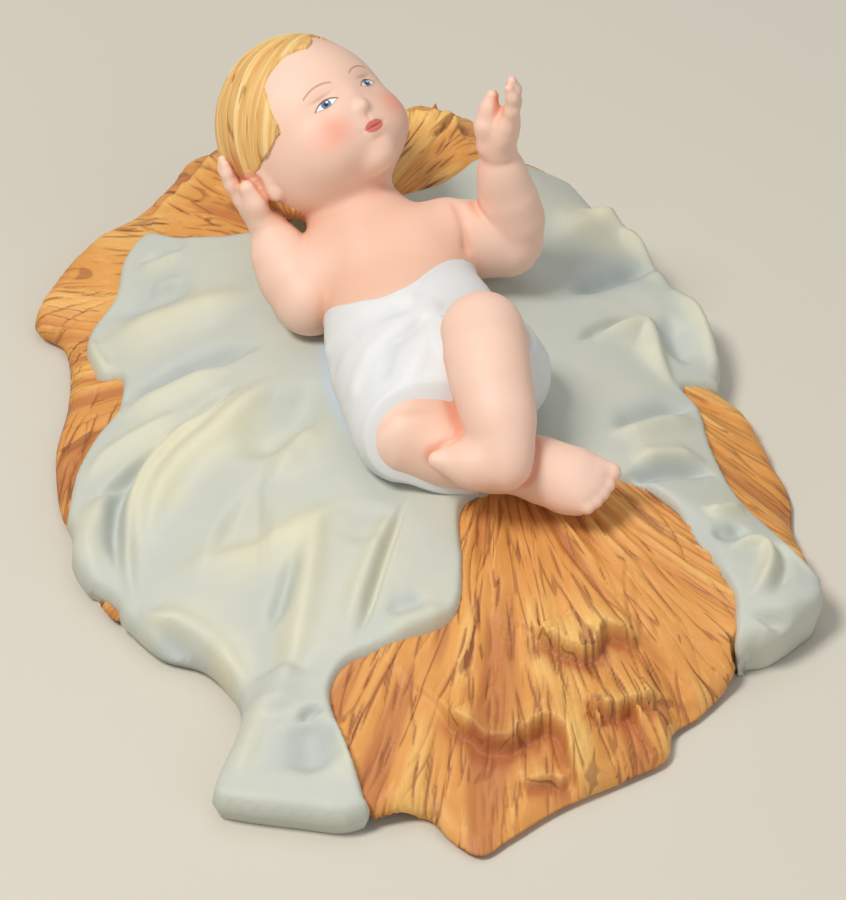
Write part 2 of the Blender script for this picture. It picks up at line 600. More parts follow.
def makeBlanket(material):
    settings = blanket
    wall = settings["wall"]
    item = makePiece("blanket", flatSheet(edgeLine, blanketDepth, settings["cell"], rings=len(wall) + 2),
                     material)
    points = readPoints(item.data)
    flat, ring = points[:, :2], np.round(-points[:, 2]).astype(int)
    depth = np.clip(blanketDepth.read(flat), 0, None)
    edge = np.sqrt(np.clip(1 - (1 - np.clip(depth / settings["edgeRound"], 0, 1)) ** 2, 0, 1))
    sink = settings["edgeSink"]
    height = ground.height(flat) + settings["step"] * (edge * (1 + sink) - sink)
    height += blanketRelief(flat) * edge
    for much, size, shift in settings["unevenness"]:
        height += much * (bumps(flat, size, shift) - 0.5)
    height -= roundedRim(flat, settings["rimReach"], settings["rimDrop"])

    # the side goes down to the hay inside the rim, and to the floor along it
    atRim = ease((2.2 - rimDepth.read(flat)) / 1.6)
    thick = settings["thick"]
    down = thick + (height - 0.15 - thick) * atRim
    share = np.array((0,) + wall + (1.0, 1.0))[ring]
    inset = base["tuck"] * share * atRim + np.where(ring > len(wall), settings["underInset"], 0)
    proud = settings["proud"] * atRim * ((ring > 0) | (depth < 1))
    inset = np.where(ring > 0, inset, 0) - proud
    final = np.column_stack([flat + inwardWay(flat, blanketDepth) * inset[:, None], height - down * share])
    final[ring == len(wall) + 2, 2] = settings["underHeight"]

    writeValue(item.data, "ridge", blanketRelief(flat, 1.5, 1.4, 3.9))
    gap, _, along = nearest(flat, smoothLine(settings["paintedEdge"], 40))
    writeValue(item.data, "shade", np.exp(-(gap / 1.6) ** 2) * ease(along * 6) * ease((1 - along) * 3))
    writePoints(item.data, toFrame(final))
    return item


def blanketMaterial():
    material, shader, wire, spot = startMaterial("pale_blanket_glaze")
    ridge = attribute(wire, "ridge")
    cloud, wisp = spot.noise(55.0, 3.0, 0.55), spot.noise(160.0, 4.0, 0.6)
    warm = (ridge * 0.30 + cloud * 1.2 - 0.5).clip()
    cool = (0.0 - ridge * 0.34 + cloud * 0.7 - 0.32).clip()
    colour = paint(warm.blend(srgb(193, 196, 184), srgb(216, 211, 182)),
                   (cool * 0.6, (172, 182, 182)),
                   (((wisp - 0.45) * 0.5).clip(), (210, 212, 204)),
                   (attribute(wire, "shade") * 0.8, (186, 204, 226)))
    relief = spot.noise(2600.0, 2.0, 0.6) * 0.7 + spot.noise(420.0, 2.0, 0.5) * 0.6
    plugAll(shader, colour, 0.56 + cloud * 0.1, relief, 0.22, 0.00012)
    return material


# hay
hay = {
    "bundles": [  # broken bundle ends, high on the left of each line: drop, run-up, line
        (3.2, 8.0, [(4, -61), (9, -65.5), (16, -68.5), (25, -64.5), (29, -76)]),
        (3.2, 8.0, [(21, -46), (25, -49.5), (31, -51.5), (35, -46.5), (42, -47)]),
        (2.8, 7.0, [(30, -60), (35, -61), (38, -59), (45, -56)]),
        (1.6, 5.0, [(19, -74.5), (28, -73.5)]),
        (-2.4, 7.0, [(-8, 82), (0, 83), (9, 84), (10, 80)]),
        (-2.0, 7.0, [(-52, 70), (-45, 74), (-38, 80)])],
    "flows": [  # where the strands fan out from, the middle of that region, its reach, a shift of phase
        ((17, 4), (20, -50), 40.0), ((-14, 40), (-25, 80), 40.0), ((25, 25), (64, 5), 24.0),
        ((-52, 80), (-62, 5), 26.0)],
    "cell": 1.42, "cuts": 3, "fineUnder": 1.6,  # small faces, and how far under the blanket they go on
    "strokes": 2300, "strokeDepth": 0.45, "strokeCell": 0.15, "strokeStep": 1.2, "strokeReach": 1.1,
    "field": ((-76, 76), (-90, 97)), "fray": 0.32,  # where strokes start, and how ragged a broken end is
    "clumps": (1.5, 0.16, 3.4, 5), "ropes": (0.5, 0.10, 1.5, 6),  # height, stretch, size and shift
    "coverDrop": 3.4, "coverInset": 1.6, "least": 2.4,  # lower and further in under the blanket
    "wall": (0.12, 0.26, 0.4, 0.55, 0.7, 0.85, 0.95, 1.0), "wallClumps": 0.55,
    "ringWidth": 8.0, "recess": 3.5, "archPlace": (-4.0, -80.5), "archWidth": 11.0, "archHeight": 3.4,
}


def flowOf(places):
    # the way that the strands run at each place, and their long and cross coordinates
    total = np.zeros(len(places))
    way = np.zeros((len(places), 2))
    coordinates = np.zeros((len(places), 2))
    for index, (source, middle, reach) in enumerate(hay["flows"]):
        weight = np.exp(-((places - np.array(middle)) ** 2).sum(1) / reach ** 2) + 1e-9
        offset = places - np.array(source)
        far = np.linalg.norm(offset, axis=1) + 1e-6
        way += weight[:, None] * offset / far[:, None]
        turn = np.arctan2(offset[:, 1], offset[:, 0])
        turn = np.where(turn > 2.0, turn - math.tau, turn) if index != 1 else turn
        coordinates += weight[:, None] * np.stack([far, turn * 45 + 60 * index], axis=1)
        total += weight
    way /= np.maximum(np.linalg.norm(way, axis=1), 1e-6)[:, None]
    return way, coordinates / total[:, None]


def makeStrokes():
    # engraved strands: short seeded strokes that follow the flow, cut into a chart
    chart = Chart(hay["strokeCell"])
    stride, reach = hay["strokeStep"], hay["strokeReach"]
    for _ in range(hay["strokes"]):
        spot = np.array([rng.uniform(*side) for side in hay["field"]])
        length = rng.uniform(3, 9) if rng.rand() < 0.7 else rng.uniform(8, 17)
        bend, lean = rng.normal(0, 0.018), rng.normal(0, 0.085)
        width, depth = rng.uniform(0.24, 0.40), rng.uniform(0.5, 1.0)
        if rimDepth.read(spot[None])[0] < -1 or blanketDepth.read(spot[None])[0] > 6:
            continue
        steps = int(length / stride) + 2
        line = [spot]
        for step in range(steps):
            way, _ = flowOf(line[-1][None])
            turn = lean + bend * step
            swing = np.array([[math.cos(turn), math.sin(turn)], [-math.sin(turn), math.cos(turn)]])
            line.append(line[-1] + way[0] @ swing * stride)
        for step, (first, second) in enumerate(zip(line[:-1], line[1:])):
            taper = math.sin(math.pi * (step + 0.7) / (steps + 0.4)) ** 0.6
            low = np.floor((np.minimum(first, second) - chart.corner - reach) / chart.cell).astype(int)
            high = np.ceil((np.maximum(first, second) - chart.corner + reach) / chart.cell).astype(int)
            low, high = np.maximum(low, 0), np.minimum(high, chart.shape)
            if (high <= low).any():
                continue
            i, j = np.meshgrid(np.arange(low[0], high[0]), np.arange(low[1], high[1]), indexing="ij")
            spots = chart.corner + np.stack([i, j], axis=-1) * chart.cell - first
            run = second - first
            share = np.clip(spots @ run / (run @ run), 0, 1)
            gap = np.linalg.norm(spots - share[..., None] * run, axis=-1)
            block = chart.values[low[0]:high[0], low[1]:high[1]]
            np.maximum(block, depth * taper * np.exp(-(gap / width) ** 2), out=block)
    return chart


def bundleRelief(places):
    # the rise towards each broken end, the wash of brown under it and the light on its top
    rise, wash, lit = (np.zeros(len(places)) for _ in range(3))
    for drop, runUp, line in hay["bundles"]:
        ragged = smoothLine(line, 5 * len(line))
        ragged = ragged + rng.normal(0, hay["fray"], ragged.shape)
        gap, side, along = nearest(places, ragged)
        side = side * np.sign(drop)
        ends = ease(along * 5) * ease((1 - along) * 5)
        high = ease(side * gap + 0.5)
        rise += 1.3 * abs(drop) * np.exp(-gap / runUp) * high * (0.3 + 0.7 * ends)
        rise -= 0.7 * np.exp(-(gap / 1.8) ** 2) * (1 - high) * ends
        wash += 1.3 * np.exp(-(gap / 2.8) ** 2) * (1 - high) * ends
        lit += np.exp(-(gap / 3.0) ** 2) * high * ends
    return rise, wash, lit


def rimWave(station):
    # clumps along the wall, by distance round the rim
    spots = np.stack([station, station * 0], axis=1)
    return bumps(spots, 1.3, 3) * 0.6 + bumps(spots, 4.0, 4) * 0.8 - 0.7


def makeHay(material):
    settings = hay
    wall = settings["wall"]

    def showing(places):
        return blanketDepth.read(places) < settings["fineUnder"]

    bm = flatSheet(rimLine, rimDepth, settings["cell"], showing, settings["cuts"], len(wall) + 2)
    item = makePiece("hay", bm, material)
    points = readPoints(item.data)
    flat, ring = points[:, :2], np.round(-points[:, 2]).astype(int)
    cover = blanketDepth.read(flat)
    bare = 1 - ease(cover / 1.5)

    # strands, bundles and clumps on the top
    cut = makeStrokes().read(flat)
    _, flow = flowOf(flat)
    rise, wash, lit = bundleRelief(flat)
    uneven = []
    for much, stretch, size, shift in (settings["clumps"], settings["ropes"]):
        uneven.append(bumps(flow[:, ::-1] * np.array([1.0, stretch]), size, shift))
        rise += much * (uneven[-1] - 0.5)
    height = ground.height(flat) + bare * (rise - settings["strokeDepth"] * cut)
    height -= settings["coverDrop"] * ease((cover - 0.2) / 2.4)
    height -= roundedRim(flat, base["lip"], base["lipDrop"])
    least = settings["least"]  # never through the floor
    height = np.where(height < least, least / 2 * (1 + np.exp((height - least) / (least / 2))), height)

    # under the blanket it keeps well inside the blanket's own wall
    under = ease((2.5 - rimDepth.read(flat)) / 2.5) * ease(cover + 1.2)
    inset = settings["coverInset"] * under
    final = np.column_stack([flat + inwardWay(flat, rimDepth) * inset[:, None], height])

    # the clumped wall, the foot ring and the recess inside it
    side = np.where(ring > 0)[0]
    spots, sideRing = flat[side], ring[side]
    stride = np.linalg.norm(np.diff(np.vstack([rimLine, rimLine[:1]]), axis=0), axis=1).mean()
    station = np.argmin(((spots[:, None] - rimLine[None]) ** 2).sum(-1), axis=1) * stride
    wave = rimWave(station + 0.3 * spots.sum(1))
    share = np.array((0,) + wall + (1.0, 1.0))[sideRing]
    hidden = ease(blanketDepth.read(spots) + 1.2)
    swell = settings["wallClumps"] * wave * np.sin(np.pi * np.clip(share, 0, 1)) ** 0.7
    inset = base["tuck"] * share - swell * (1 - hidden) + settings["coverInset"] * hidden
    inset = np.where(sideRing > len(wall), settings["ringWidth"], inset)
    final[side, :2] = spots + inwardWay(spots, rimDepth) * inset[:, None]
    final[side, 2] = height[side] * (1 - share)

    # the hollow under the front edge
    middle, front = settings["archPlace"]
    arch = 1 - ((final[:, 0] - middle) / (settings["archWidth"] / 2)) ** 2
    lifted = settings["archHeight"] * np.sqrt(np.clip(arch, 0, 1)) * (final[:, 1] < front + 14)
    final[side, 2] = np.maximum(final[side, 2], np.minimum(lifted, height)[side])
    last = ring == len(wall) + 2
    final[last, 2] = np.minimum(settings["recess"], ground.height(final[last, :2]) - 3.0)

    cut[side] = ease(0.5 - wave * 1.6) * 0.8
    writeValue(item.data, "groove", cut)
    writeValue(item.data, "wash", np.clip(wash + 0.9 * ease((0.42 - uneven[0]) * 4), 0, 1.5))
    writeValue(item.data, "lit", np.clip(lit + ease((uneven[0] - 0.62) * 4), 0, 1.5))
    writeVector(item.data, "flow", np.column_stack([flow, final[:, 2]]))
    writePoints(item.data, toFrame(final))
    return item


def hayMaterial():
    material, shader, wire, spot = startMaterial("golden_hay_glaze")
    flow = attribute(wire, "flow", 1)
    groove, wash, lit = (attribute(wire, name) for name in ("groove", "wash", "lit"))
    streak = flow.stretched(0.10, 1.5, 0.4).noise(1.0, 4.0, 0.65)
    fine = flow.stretched(0.22, 3.4, 0.8).noise(1.0, 3.0, 0.6)
    strand = flow.stretched(0.032, 0.42, 0.15).noise(1.0, 0.0, 0.4)
    dash = flow.stretched(0.12, 0.55, 0.3).noise(1.0, 1.0, 0.5)
    cloud = spot.noise(70.0, 3.0, 0.6)
    lines = (strand - 0.5).band(0.0003, 0.0016) * dash.step(0.44, 0.56)
    lines = (lines + fine.step(0.62, 0.70) * streak.step(0.42, 0.54) * 0.4).clip()
    colour = paint((cloud * 1.4 - 0.25).clip().blend(srgb(214, 142, 66), srgb(228, 164, 88)),
                   ((lit * 0.6 * streak * 1.6).clip(), (242, 198, 116)),
                   (streak.step(0.55, 0.72) * 0.55, (240, 190, 110)),
                   ((wash * 0.75).clip(), (180, 106, 58)),
                   ((groove.step(0.25, 0.8) * 0.8 + lines * 0.6).clip(), (146, 84, 42)))
    relief = spot.noise(2400.0, 2.0, 0.6) * 0.12 - lines * 0.6 + streak * 0.6
    plugAll(shader, colour, 0.5 + cloud * 0.15, relief, 0.5, 0.0003)
    return material


# the child
def unitRows(first, second):
    # three square unit ways: the first kept, the second straightened, the third across both
    first = np.array(first) / np.linalg.norm(first)
    second = np.array(second) - first * (first @ np.array(second))
    second /= np.linalg.norm(second)
    return np.array([first, second, np.cross(first, second)])


headFrame = unitRows((0.44, -0.31, 0.843), (-0.589, 0.609, 0.53)) * np.array([[1], [1], [-1]])
trunkFrame = unitRows((0.95, 0.28, 0.10), (-0.17, 0.98, 0.05))

child = {
    "cell": 0.57,
    "head": (-19.6, 53.4, 47.7), "skull": (17.2, 17.4, 16.0),  # radii: face way, crown way, aside
    "headMasses": [  # middle (forward, up, aside), radii, blend; a pair where aside is not 0
        ((3.8, -7.2, 0), (12.2, 9.8, 13.2), 4.0), ((12.2, -9.8, 0), (3.7, 4.2, 5.6), 3.0),
        ((11.7, -14.2, 0), (3.5, 2.8, 3.9), 2.2), ((9.4, -8.2, 6.6), (6.0, 5.4, 5.6), 3.0),
        ((15.0, -2.6, 0), (1.5, 3.2, 1.3), 1.8), ((16.4, -5.5, 0), (1.75, 1.35, 1.55), 1.2),
        ((15.5, -5.9, 1.65), (1.2, 0.95, 0.95), 0.8), ((13.9, -1.8, 5.5), (1.75, 1.45, 2.5), 0.7),
        ((15.15, -9.15, 0), (1.1, 0.62, 2.1), 0.7), ((14.95, -10.35, 0), (1.15, 0.72, 1.65), 0.7),
        ((-1.5, -4.6, 14.9), (2.6, 4.2, 1.7), 1.4), ((-2.2, -2.6, 15.5), (2.2, 2.4, 0.9), 1.0),
        ((-0.6, -8.0, 14.8), (1.3, 1.5, 1.1), 1.0)],
    "headHollows": [  # middle, radii and depth of soft hollows; a pair where aside is not 0
        ((14.6, -1.6, 5.4), (3.0, 2.4, 3.4), 0.55), ((15.2, -9.78, 0), (2.0, 0.20, 2.2), 0.42),
        ((16.0, -7.6, 0), (2.0, 1.0, 0.55), 0.22), ((14.2, -11.9, 0), (2.4, 0.8, 1.8), 0.45),
        ((15.7, -6.55, 0.95), (0.9, 0.35, 0.42), 0.4), ((15.2, -0.3, 5.5), (2.4, 0.28, 2.3), 0.28),
        ((-1.0, -4.6, 17.0), (1.2, 2.0, 1.4), 0.9), ((14.2, -9.8, 2.75), (2.0, 0.6, 0.6), 0.25)],
    "trunk": [((-3.5, 31, 30.5), (14.6, 13.5, 10.2)), ((0.5, 15, 30.3), (15.6, 13.5, 10.6)),
              ((4.5, -1, 29), (14.8, 12.5, 11.2)), ((-8.5, 33, 33.5), (7.0, 6.5, 7.6)),
              ((2.0, 34.5, 33.5), (7.0, 6.5, 7.8))],
    "neck": [(-13.5, 46.5, 39.5, 8.0), (-9, 40, 36, 8.6)],
    "rightArm": [(-12.5, 36.5, 33, 7.2), (-15.6, 31, 30.6, 7.1), (-18.4, 26.4, 28, 6.7)],
    "rightForearm": [(-18.9, 26.3, 28.2, 6.6), (-21.8, 30, 30.6, 6.2), (-24.4, 33.9, 32.8, 5.1),
                     (-26.3, 37.8, 35.4, 3.6)],
    "leftArm": [(7, 37, 35, 6.9), (12.5, 37.8, 33.2, 6.8), (18, 38.2, 32, 6.4)],
    "leftForearm": [(19.0, 39.4, 32, 6.3), (19.0, 39.5, 37, 5.9), (18.4, 39.4, 42, 5.0),
                    (17.3, 39.7, 47, 4.2), (16.5, 39.9, 51.3, 3.5)],
    "leftThigh": [(15, 3, 30, 10), (13.2, 1, 41, 7.1)],
    "leftShank": [(13.2, 1, 41, 7.1), (13.8, -5, 40.6, 6.9), (14.6, -11, 39.2, 6.5),
                  (16.0, -16.5, 36.4, 5.9), (16.8, -20.4, 34, 5.3)],
    "rightThigh": [(-3, 5, 28, 10.3), (-1, -8, 28, 8.5)],
    "rightShank": [(-0.5, -11, 27.6, 8.1), (7, -12.8, 26.2, 6.9), (15, -15.8, 26.0, 5.7),
                   (23, -18.3, 26, 4.9)],
    "leftFoot": [[(16.8, -23.3, 31.4, 4.8), (11.4, -22.8, 30.8, 3.8), (6.2, -22.4, 31.1, 2.1)],
                 [(16.2, -20.8, 30.2, 4.5), (11.2, -20.2, 29.2, 3.4), (7.6, -20.0, 29.6, 2.0)]],
    "rightFoot": [[(23.6, -17.8, 25.6, 4.8), (29.2, -18.7, 25.2, 4.0), (33.4, -19.0, 25.5, 2.7)],
                  [(24, -18.8, 24.8, 4.6), (29.4, -20.6, 24.4, 3.8), (32.6, -22.0, 24.5, 2.6)],
                  [(25, -19.2, 24.4, 4.4), (28.4, -21.8, 23.8, 3.8), (30.4, -24.2, 23.7, 2.4)]],
    "rightToes": [[(33.0, -18.9, 25.6, 2.3), (35.9, -19.3, 25.6, 1.95)],
                  [(32.6, -21.2, 25.0, 1.6), (35.3, -21.9, 25.0, 1.35)],
                  [(31.9, -22.7, 24.6, 1.5), (34.3, -23.6, 24.5, 1.25)],
                  [(31.0, -23.9, 24.2, 1.45), (33.1, -25.1, 24.0, 1.2)],
                  [(29.9, -24.7, 23.8, 1.4), (31.6, -26.2, 23.5, 1.15)]],
    "leftToes": [[(7.0, -22.8, 31.3, 1.75), (4.9, -22.6, 31.7, 1.5)],
                 [(6.9, -21.7, 30.3, 1.4), (4.9, -21.6, 30.5, 1.2)],
                 [(7.2, -20.6, 29.5, 1.35), (5.4, -20.5, 29.6, 1.15)],
                 [(7.6, -19.5, 28.8, 1.3), (6.1, -19.4, 28.9, 1.1)]],
    "hands": [
        {"palm": (17.3, 40.2, 56.4), "finger": (0.22, 0.0, 1.0), "spread": (0.20, 0.98, 0.0),
         "radii": (5.6, 4.0, 3.0), "knuckle": (18.6, 40.3, 60.2), "gap": 1.38, "length": 8.8, "curl": 1.6,
         "thumb": [(14.6, 39.2, 54.6, 2.3), (14.0, 39.6, 58.4, 1.85), (14.6, 40.8, 61.4, 1.55),
                   (15.2, 41.6, 63.8, 1.2)]},
        {"palm": (-29.4, 39.4, 39.0), "finger": (-0.50, 0.26, 0.82), "spread": (-0.06, 0.86, -0.5),
         "radii": (5.2, 3.9, 2.6), "knuckle": (-32.3, 41.0, 41.8), "gap": 1.15, "length": 8.0, "curl": 0.9,
         "thumb": [(-27.8, 36.9, 38.8, 2.2), (-28.8, 37.3, 42.0, 1.95), (-30.3, 38.2, 45.0, 1.6)]}],
    "creases": [  # depth, width, and a line cut into the skin
        (0.2, 0.9, [(13.2, 38.2, 51.6), (15.8, 36.4, 51.6), (19.2, 37.4, 51.8)]),
        (0.5, 1.0, [(8.4, 38.5, 42.4), (9.6, 34.5, 40.4), (10.6, 30.6, 37.0)]),
        (0.35, 0.9, [(-6.4, -17.5, 31.5), (-2.4, -15.0, 35.2), (3.4, -14.6, 35.4)])],
    "fingerSizes": (0.92, 1.0, 0.93, 0.76),  # from the first finger to the smallest
    "fingerShape": (  # how far along, how much of the curl, how thick
        (0, 0, 1.45), (0.45, 0.0, 1.25), (0.78, 0.35, 1.08), (1.0, 1.0, 0.85)),
    "subsurface": {"Subsurface Weight": 0.12, "Subsurface Radius": (0.0016, 0.0008, 0.0005),
                   "Subsurface Scale": 1.0},
}


def smoothUnion(one, two, blend):
    mix = np.maximum(blend - np.abs(one - two), 0) / blend
    return np.minimum(one, two) - mix * mix * blend / 4


def onlyNear(points, middle, reach, form, margin=8.0):
    # works out a form near its middle, and a safe distance elsewhere
    distance = np.linalg.norm(points - np.array(middle), axis=1) - reach
    close = distance < margin
    if close.any():
        distance[close] = form(points[close])
    return distance


def chain(points, balls, blend=2.0):
    balls = np.array(balls, float)
    middle = balls[:, :3].mean(0)
    reach = (np.linalg.norm(balls[:, :3] - middle, axis=1) + balls[:, 3]).max()
    return onlyNear(points, middle, reach, lambda spots: rods(spots, balls, blend))


def rods(points, balls, blend):
    # a limb: tapering rods from ball to ball
    total = None
    for first, second in zip(balls[:-1], balls[1:]):
        run = second[:3] - first[:3]
        offset = points - first[:3]
        share = np.clip(offset @ run / (run @ run), 0, 1)
        gap = np.linalg.norm(offset - share[:, None] * run, axis=1)
        rod = gap - first[3] - share * (second[3] - first[3])
        total = rod if total is None else smoothUnion(total, rod, blend)
    return total


def lineGap(points, line):
    return chain(points, [spot + (0,) for spot in line], 0.5)


def egg(points, middle, radii, rows=np.eye(3)):
    local = (points - np.array(middle)) @ rows.T
    scaled = np.linalg.norm(local / radii, axis=1)
    steepness = np.linalg.norm(local / np.square(radii), axis=1)
    return scaled * (scaled - 1) / np.maximum(steepness, 1e-9)


def bothSides(place):
    return [place] if place[2] == 0 else [place, (place[0], place[1], -place[2])]


def headForm(points):
    local = (points - np.array(child["head"])) @ headFrame.T
    form = egg(local, (0, 0, 0), child["skull"])
    for middle, radii, blend in child["headMasses"]:
        for place in bothSides(middle):
            form = smoothUnion(form, egg(local, place, radii), blend)
    for middle, radii, depth in child["headHollows"]:
        for place in bothSides(middle):
            form = form + depth * np.exp(-(((local - np.array(place)) / np.array(radii)) ** 2).sum(1))
    return form


def fingers(hand):
    # the four fingers' chains, from the knuckles, curling towards the child's head
    way, spread, palmWay = unitRows(hand["finger"], hand["spread"])
    curl = palmWay * -np.sign(palmWay[0] * hand["palm"][0]) * hand["curl"]
    for index, size in enumerate(child["fingerSizes"]):
        root = np.array(hand["knuckle"]) + spread * hand["gap"] * (index - 1.5) - way * (2.2 - 1.4 * size)
        length = hand["length"] * size
        yield [tuple(root + way * length * far + curl * lean) + (thick * size ** 0.4,)
               for far, lean, thick in child["fingerShape"]]


def handForm(points, hand):
    form = egg(points, hand["palm"], hand["radii"], unitRows(hand["finger"], hand["spread"]))
    digits = None
    for balls in fingers(hand):
        finger = chain(points, balls, 1.0)
        digits = finger if digits is None else smoothUnion(digits, finger, 0.5)
    form = smoothUnion(form, digits, 1.2)
    return smoothUnion(form, chain(points, hand["thumb"], 1.5), 1.3)


def footForm(points, soles, toes):
    form = chain(points, soles[0], 3)
    for sole in soles[1:]:
        form = smoothUnion(form, chain(points, sole, 3), 2.5)
    for toe in toes:
        form = smoothUnion(form, chain(points, toe, 1), 0.8)
    return form


def trunkForm(points):
    form = None
    for middle, radii in child["trunk"]:
        mass = egg(points, middle, radii, trunkFrame)
        form = mass if form is None else smoothUnion(form, mass, 6.0)
    return form


def skinForm(points):
    # signed distance to the child's skin, below zero inside
    form = smoothUnion(trunkForm(points), chain(points, child["neck"], 3), 4)
    form = smoothUnion(form, onlyNear(points, child["head"], 20, headForm), 2.6)
    for side, palm in zip(("right", "left"), child["hands"][::-1]):
        upper = chain(points, child[side + "Arm"], 2)
        arm = smoothUnion(upper, chain(points, child[side + "Forearm"], 2.5), 1.2)
        hand = onlyNear(points, palm["palm"], 12, lambda spots: handForm(spots, palm))
        form = smoothUnion(form, upper, 2.6)
        form = smoothUnion(form, smoothUnion(arm, hand, 2.0), 0.5)
    for side, leg, ankle, hip in zip(("right", "left"), legsForm(points), (3.0, 2.2), (4, 0.9)):
        foot = onlyNear(points, child[side + "Foot"][0][1][:3], 14,
                        lambda spots: footForm(spots, child[side + "Foot"], child[side + "Toes"]))
        form = smoothUnion(form, smoothUnion(leg, foot, ankle), hip)
    for depth, width, line in child["creases"]:
        form = form + depth * np.exp(-(lineGap(points, line) / width) ** 2)
    return form


def legsForm(points):
    right = smoothUnion(chain(points, child["rightThigh"], 3), chain(points, child["rightShank"], 3), 3.0)
    left = smoothUnion(chain(points, child["leftThigh"], 3), chain(points, child["leftShank"], 3), 2.0)
    return right, left


def slope(form, points, tiny=0.08):
    # the way that a form's distance grows fastest, and the distance itself
    here = form(points)
    steps = np.eye(3) * tiny
    grown = np.stack([form(points + step) - here for step in steps], axis=1) / tiny
    return here, grown


def settle(form, points, rounds, limit=1.2):
    # moves points onto a form's skin
    for _ in range(rounds):
        here, grown = slope(form, points)
        way = grown / np.maximum((grown ** 2).sum(1), 0.3)[:, None]
        points = points - way * np.clip(here, -limit, limit)[:, None]
        points = points - way * np.clip(form(points), -limit, limit)[:, None]
    return points


def join(bm, shape):
    # adds a small shape to a growing one, which is far quicker than making it there
    holder = bpy.data.meshes.new("holder")
    shape.to_mesh(holder)
    shape.free()
    bm.from_mesh(holder)
    bpy.data.meshes.remove(holder)


def clay(name, chains, masses, cell):
    # rods and eggs pressed together and remeshed into one skin, in pattern units
    bm = bmesh.new()
    for balls in chains:
        for pair in zip(balls[:-1], balls[1:]):
            rod = bmesh.new()
            for ball in pair:
                bmesh.ops.create_icosphere(rod, subdivisions=3, radius=ball[3],
                                           matrix=Matrix.Translation([float(value) for value in ball[:3]]))
            hull = bmesh.ops.convex_hull(rod, input=rod.verts)
            spare = set(vertsOf(hull["geom_interior"] + hull["geom_unused"]))
            bmesh.ops.delete(rod, geom=list(spare), context="VERTS")
            bmesh.ops.recalc_face_normals(rod, faces=rod.faces)
            join(bm, rod)
    for middle, radii, rows in masses:
        turned = rows * np.array([[1], [1], [np.sign(np.linalg.det(rows))]])  # never mirrored
        turn = Matrix(turned.tolist()).transposed() @ Matrix.Diagonal(Vector([float(r) for r in radii]))
        mass = bmesh.new()
        bmesh.ops.create_icosphere(mass, subdivisions=5, radius=1.0,
                                   matrix=Matrix.Translation(Vector(middle)) @ turn.to_4x4())
        join(bm, mass)
    mesh = bpy.data.meshes.new(name + "_clay")
    bm.to_mesh(mesh)
    bm.free()
    item = bpy.data.objects.new(name + "_clay", mesh)
    bpy.context.scene.collection.objects.link(item)
    remesh = item.modifiers.new("clay", "REMESH")
    remesh.mode, remesh.voxel_size = "VOXEL", cell
    bpy.context.view_layer.update()
    skin = bpy.data.meshes.new_from_object(item.evaluated_get(bpy.context.evaluated_depsgraph_get()))
    bpy.data.objects.remove(item)
    bpy.data.meshes.remove(mesh)
    return skin


def refine(mesh, chosen):
    # splits the chosen faces once
    bm = bmesh.new()
    bm.from_mesh(mesh)
    bm.faces.ensure_lookup_table()
    edges = {edge for index in np.where(chosen)[0] for edge in bm.faces[index].edges}
    bmesh.ops.subdivide_edges(bm, edges=list(edges), cuts=1, use_grid_fill=True)
    bm.to_mesh(mesh)
    bm.free()


def makeChild(material):
    settings = child
    limbs = ["neck", "rightArm", "rightForearm", "leftArm", "leftForearm", "leftThigh", "leftShank",
             "rightThigh", "rightShank"]
    chains = [settings[name] for name in limbs]
    for name in ("leftFoot", "rightFoot", "leftToes", "rightToes"):
        chains += settings[name]
    masses = [(middle, radii, trunkFrame) for middle, radii in settings["trunk"]]
    for hand in settings["hands"]:
        chains += list(fingers(hand)) + [hand["thumb"]]
        masses.append((hand["palm"], hand["radii"], unitRows(hand["finger"], hand["spread"])))
    centre = np.array(settings["head"])
    masses.append((settings["head"], settings["skull"], headFrame))
    for middle, radii, _ in settings["headMasses"]:
        for place in bothSides(middle):
            masses.append((centre + np.array(place) @ headFrame, radii, headFrame))
    mesh = clay("child", chains, masses, settings["cell"])
    print("child clay", len(mesh.vertices))
    points = relax(readPoints(mesh), readEdges(mesh), 0.5, 2)
    points = settle(skinForm, points, 1)
    writePoints(mesh, relax(points, readEdges(mesh), 0.5, 2))

    # smaller faces on the face, the hands and the toes
    centres = faceCentres(mesh)
    ahead, up, aside = ((centres - centre) @ headFrame.T).T
    fine = (ahead > 8) & (np.abs(aside) < 11) & (up > -17) & (up < 5)
    for hand in settings["hands"]:
        fine |= np.linalg.norm(centres - np.array(hand["palm"]), axis=1) < 12.5
    for toes in (settings["rightToes"], settings["leftToes"]):
        fine |= np.linalg.norm(centres - np.mean([toe[1][:3] for toe in toes], axis=0), axis=1) < 6
    refine(mesh, fine)
    edges = readEdges(mesh)
    points = relax(readPoints(mesh), edges, 0.4, 1)
    points = settle(skinForm, points, 1, 0.6)
    points = settle(skinForm, relax(points, edges, 0.25, 1), 1, 0.4)

    # warmer paint where skin lies near skin, and on the trunk
    _, grown = slope(skinForm, points)
    normal = grown / np.maximum(np.linalg.norm(grown, axis=1), 1e-6)[:, None]
    reach = 2.2
    writeValue(mesh, "crease", np.clip((reach - skinForm(points + reach * normal)) / reach, 0, 1))
    writeValue(mesh, "body", ease(1 - trunkForm(points) / 5.0))
    writePoints(mesh, toFrame(points))
    return dress("child", mesh, material)


def headCoordinates(spot):
    # the Object coordinates in millimetres forward, up and aside from the head's middle
    turn = Matrix((headFrame * np.array([[1], [1], [-1]])).tolist())  # aside turned, to keep it right-handed
    away = -(turn @ Vector(toFrame(np.array(child["head"])))) / unit
    return spot.node("ShaderNodeMapping", {}, {"Vector": spot, "Location": away, "Rotation": turn.to_euler(),
                                               "Scale": (1 / unit,) * 3}).parts()


